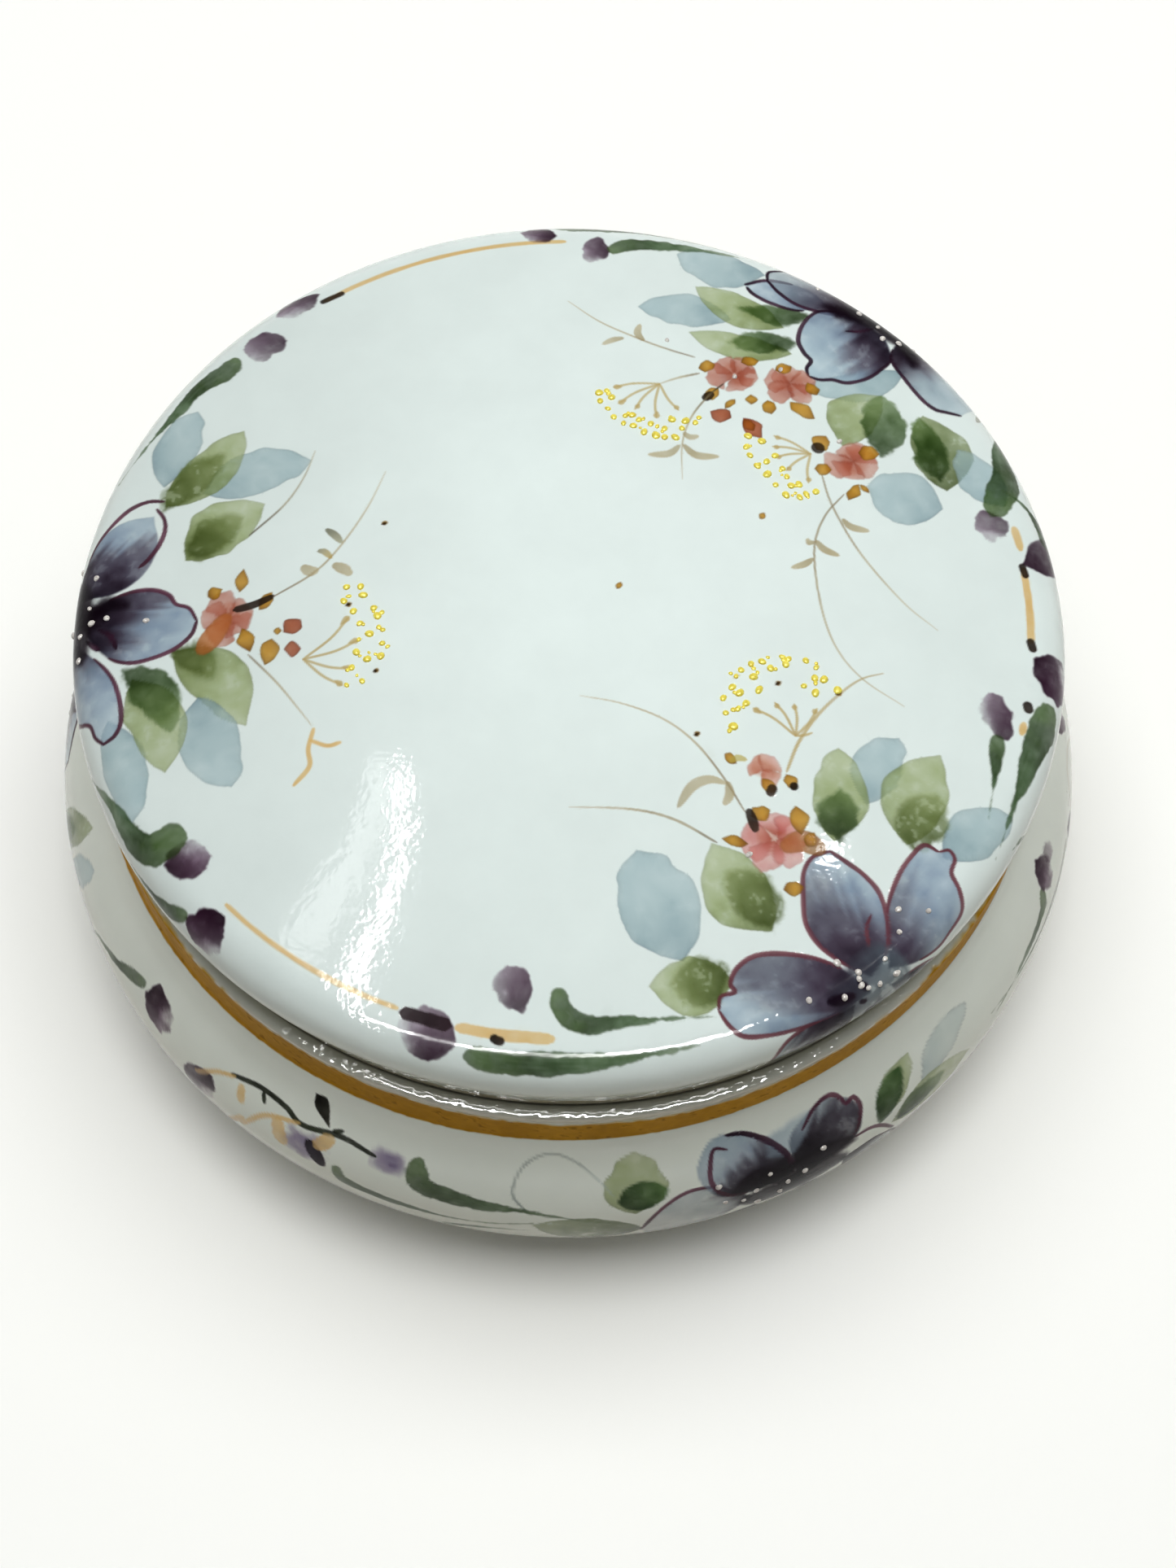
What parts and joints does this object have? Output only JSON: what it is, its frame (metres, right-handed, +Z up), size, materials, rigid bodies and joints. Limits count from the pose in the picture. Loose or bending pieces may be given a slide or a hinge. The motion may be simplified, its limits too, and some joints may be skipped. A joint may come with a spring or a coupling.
{
  "type": "porcelain trinket box",
  "caption": "Squat round box in glazed porcelain with a loose domed lid that drops over a collar and rests on a ledge.",
  "frame": {"origin": "centre of the plane that the foot ring stands on", "axes": "+Z up along the axis of the box; the side with the lid's open white field nearest is -Y, and +X is to its right"},
  "size_m": [0.1114, 0.1114, 0.0484],
  "materials": {
    "porcelain_base": "glossy clear glaze over white porcelain, with enamel flowers and an ochre band",
    "porcelain_lid": "glossy clear glaze over white porcelain, with enamel flowers and gilding"
  },
  "bodies": {
    "base": {"base": "porcelain_base"},
    "lid": {"lid": "porcelain_lid"}
  },
  "joints": [
    {"name": "lid_lift", "type": "slide", "parent": "base", "child": "lid", "axis": [0, 0, 1], "range_m": [0, 0.06]}
  ]
}
